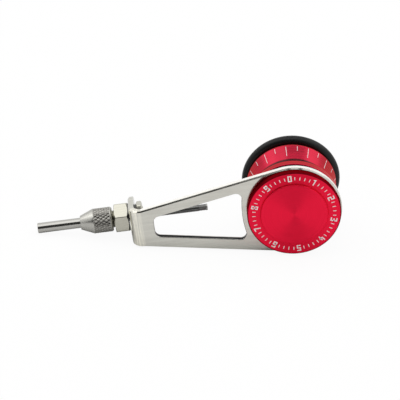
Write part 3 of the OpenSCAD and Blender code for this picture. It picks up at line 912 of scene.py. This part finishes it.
turned("knob_disc", [
    (INSERT_R + FIT, WEB_Y), (INSERT_R + FIT, PRESSURE_Y),
    (SPRING_ROOM_R, PRESSURE_Y), (SPRING_ROOM_R, KNOB_BACK),
    (KNOB_R - KNOB_CHAMFER, KNOB_BACK), (KNOB_R, KNOB_BACK - KNOB_CHAMFER),
    (KNOB_R, KNOB_FRONT + KNOB_CHAMFER), (KNOB_R - KNOB_CHAMFER, KNOB_FRONT),
    (DARK_FULL, KNOB_FRONT), (DARK_START, KNOB_FRONT), (CAP_R + FIT, KNOB_FRONT), (CAP_R + FIT, WEB_Y)],
    about_spool, ROUND_STEPS, EASE, "knob", RED, "red_anodised", ["knob"], deep=rim_painted_reflection)
turned("knob_cover", [
    (0, CAP_FRONT), (CAP_R - KNOB_CHAMFER, CAP_FRONT), (CAP_R, CAP_FRONT + KNOB_CHAMFER), (CAP_R, WEB_Y),
    (CAP_R - CAP_RIM, WEB_Y), (CAP_R - CAP_RIM, CAP_FRONT + CAP_WALL), (0, CAP_FRONT + CAP_WALL)],
    about_spool, ROUND_STEPS, EASE, "knob", RED, "red_anodised", ["knob_cap"], closed=False)
dial_marks()

# Solids that stay as they are and get their finish

for names, material in (
    (["axle"], NICKEL),
    # The front washer's dark steel is painted shade in the gap behind the hexagon
    (["front_washer"], BLACKENED_AND_SHADE),
    (["collet"], TURNED),
    (["front_bush"], DRAWN),
    (["rear_bush", "thrust_washer", "inner_spring", "outer_spring", "pressure_washer"], SPRING),
    (["near_bush", "far_bush", "knob_insert"], BRONZE),
    (["friction_washer"], FIBRE),
):
    for name in names:
        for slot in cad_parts[name].material_slots:
            slot.material = material

# Stage, in metres

FLOOR_HALF = 4.0
FLOOR_GAP = 0.00005
PAPER_WHITE = 0.93
CARD_Y = -0.25
CARD_LEFT = -0.45
CARD_RIGHT = 0.2
CARD_BOTTOM = 0.03
CARD_TOP = 0.46
APRON_HALF = 0.6
APRON_BACK = 0.1
APRON_RISE = 0.0004
TOP_CARD_Z = 0.8
TOP_CARD_LEFT = -0.14
TOP_CARD_RIGHT = 0.46
TOP_CARD_FRONT = 0.17
TOP_CARD_BACK = 0.4


def stage_quad(name, corners, material):
    """Flat four-cornered stage piece."""
    mesh = bpy.data.meshes.new(name)
    mesh.from_pydata(corners, [], [(0, 1, 2, 3)])
    mesh.materials.append(material)
    obj = bpy.data.objects.new(name, mesh)
    bpy.context.scene.collection.objects.link(obj)
    return obj


def level_corners(left, right, front, back, z):
    """Corners of a level rectangle, in order round it."""
    return [(left, front, z), (right, front, z), (right, back, z), (left, back, z)]


def seen_directly(tree):
    """1 for rays from the camera, a mirror or glass, and 0 for the light that falls on things."""
    path = add(tree, "LightPath", {})
    first = add(tree, "Math", {
        "operation": "MAXIMUM", 0: path.outputs["Is Camera Ray"], 1: path.outputs["Is Glossy Ray"]})
    return add(tree, "Math", {"operation": "MAXIMUM", 0: first, 1: path.outputs["Is Transmission Ray"]})


def floor_paper():
    """Matt white paper: looked at, it is mostly its own white, and the rest is lit and keeps the shadow."""
    material = bpy.data.materials.new("floor_paper")
    material.use_nodes = True
    tree = material.node_tree
    tree.nodes.clear()
    lit = add(tree, "BsdfDiffuse", {"Color": linear("#f7f7f6")})
    white = add(tree, "Emission", {"Color": linear("#ffffff"), "Strength": 1.0})
    share = add(tree, "Math", {"operation": "MULTIPLY", 0: seen_directly(tree), 1: PAPER_WHITE})
    mixed = add(tree, "MixShader", {0: share, 1: lit, 2: white})
    add(tree, "OutputMaterial", {"Surface": mixed})
    return material


stage_quad(
    "floor", level_corners(-FLOOR_HALF, FLOOR_HALF, -FLOOR_HALF, FLOOR_HALF, -FLOOR_GAP), floor_paper())


def mirror_card(name, corners, material):
    """Card that only mirrors see."""
    card = stage_quad(name, corners, material)
    card.visible_camera = False
    card.visible_shadow = False
    card.visible_diffuse = False


# Dark grey felt in front: it draws the dark line along round metal
mirror_card("front_card", [
    (CARD_LEFT, CARD_Y, CARD_BOTTOM), (CARD_RIGHT, CARD_Y, CARD_BOTTOM),
    (CARD_RIGHT, CARD_Y, CARD_TOP), (CARD_LEFT, CARD_Y, CARD_TOP)],
    finish("grey_felt", (streaks, 2.0, 2.0), ("#323232", "#3a3a3a"), (0.9, 1.0)))

# Pale grey paper on the floor in front: it takes the glare off the faces that look forward
mirror_card(
    "front_apron", level_corners(-APRON_HALF, APRON_HALF, -APRON_HALF, APRON_BACK, APRON_RISE),
    finish("grey_paper", (streaks, 20.0, 20.0), ("#f0f0f0", "#f4f4f4"), (0.9, 1.0)))

# White felt under the overhead lamp: it parts the sheen on the spool's cone into two
mirror_card(
    "top_card", level_corners(TOP_CARD_LEFT, TOP_CARD_RIGHT, TOP_CARD_FRONT, TOP_CARD_BACK, TOP_CARD_Z),
    finish("white_felt", (streaks, 2.0, 2.0), ("#f2f2f2", "#f6f6f6"), (0.9, 1.0)))

# Lamps: place and size in metres, and power in watts
LAMPS = {
    "overhead_lamp": ((0, 0, 0.88), (2.8, 0.8), 5.6),
    "back_lamp": ((0, 0.75, 0.75), (1.2, 0.45), 0.5),
    "left_lamp": ((-0.8, 0.42, 0.7), (0.8, 0.5), 0.9),
    "right_lamp": ((0.8, 0.42, 0.7), (0.8, 0.5), 0.9),
}
STEEP = 0.9

# White all round: how strongly it lights things, and how it is seen
SKY_GLOW = 0.65
SKY_SEEN = 1.0


def soft_lamp(name, place, size, power):
    """Soft lamp, as wide and as deep as its size says, that faces the middle of the floor."""
    data = bpy.data.lights.new(name, "AREA")
    data.shape = "RECTANGLE"
    data.size, data.size_y = size
    data.energy = power
    obj = bpy.data.objects.new(name, data)
    obj.visible_camera = False
    back = np.array(place) / np.linalg.norm(place)
    side = np.cross([0.0, 1.0, 0.0] if abs(back[2]) > STEEP else [0.0, 0.0, 1.0], back)
    side /= np.linalg.norm(side)
    turn = np.eye(4)
    turn[:3, :3] = np.stack([side, np.cross(back, side), back], 1)
    turn[:3, 3] = place
    obj.matrix_world = Matrix(turn.tolist())
    bpy.context.scene.collection.objects.link(obj)


for name, lamp in LAMPS.items():
    soft_lamp(name, *lamp)

world = bpy.data.worlds.new("white_studio")
world.use_nodes = True
bpy.context.scene.world = world
sky = world.node_tree
sky.nodes.clear()
glow = add(sky, "Background", {"Color": linear("#ffffff"), "Strength": SKY_GLOW})
white = add(sky, "Background", {"Color": linear("#ffffff"), "Strength": SKY_SEEN})
both = add(sky, "MixShader", {0: seen_directly(sky), 1: glow, 2: white})
add(sky, "OutputWorld", {"Surface": both})

# Camera: a long lens at the photograph's angle, set against the tool's own axes

VIEW_ELEVATION = np.radians(30.854)
VIEW_AZIMUTH = np.radians(-2.432)
VIEW_ROLL = np.radians(-8.472)
VIEW_TARGET = (-33.197, 10.0, 3.069)
VIEW_WIDTH = 144 * MM
VIEW_DISTANCE = 1.5
SENSOR = 36.0
NEAR_CLIP = 0.05
FAR_CLIP = 20.0


def photo_camera():
    """Camera whose picture is VIEW_WIDTH wide at the target, looking along the view angles with a roll."""
    e, a, r = VIEW_ELEVATION, VIEW_AZIMUTH, VIEW_ROLL
    ahead = np.array([np.sin(a) * np.cos(e), np.cos(a) * np.cos(e), -np.sin(e)])
    level = np.array([np.cos(a), -np.sin(a), 0])
    right = np.cos(r) * level + np.sin(r) * np.cross(level, ahead)
    data = bpy.data.cameras.new("photo_camera")
    data.sensor_width = SENSOR
    data.lens = SENSOR * VIEW_DISTANCE / VIEW_WIDTH
    data.clip_start = NEAR_CLIP
    data.clip_end = FAR_CLIP
    obj = bpy.data.objects.new("photo_camera", data)
    turn = np.eye(4)
    turn[:3, :3] = LEANING @ np.stack([right, np.cross(right, ahead), -ahead], 1)
    turn[:3, 3] = placed(VIEW_TARGET) + turn[:3, 2] * VIEW_DISTANCE
    obj.matrix_world = Matrix(turn.tolist())
    bpy.context.scene.collection.objects.link(obj)
    bpy.context.scene.camera = obj


photo_camera()
bpy.context.scene.view_settings.view_transform = "Standard"
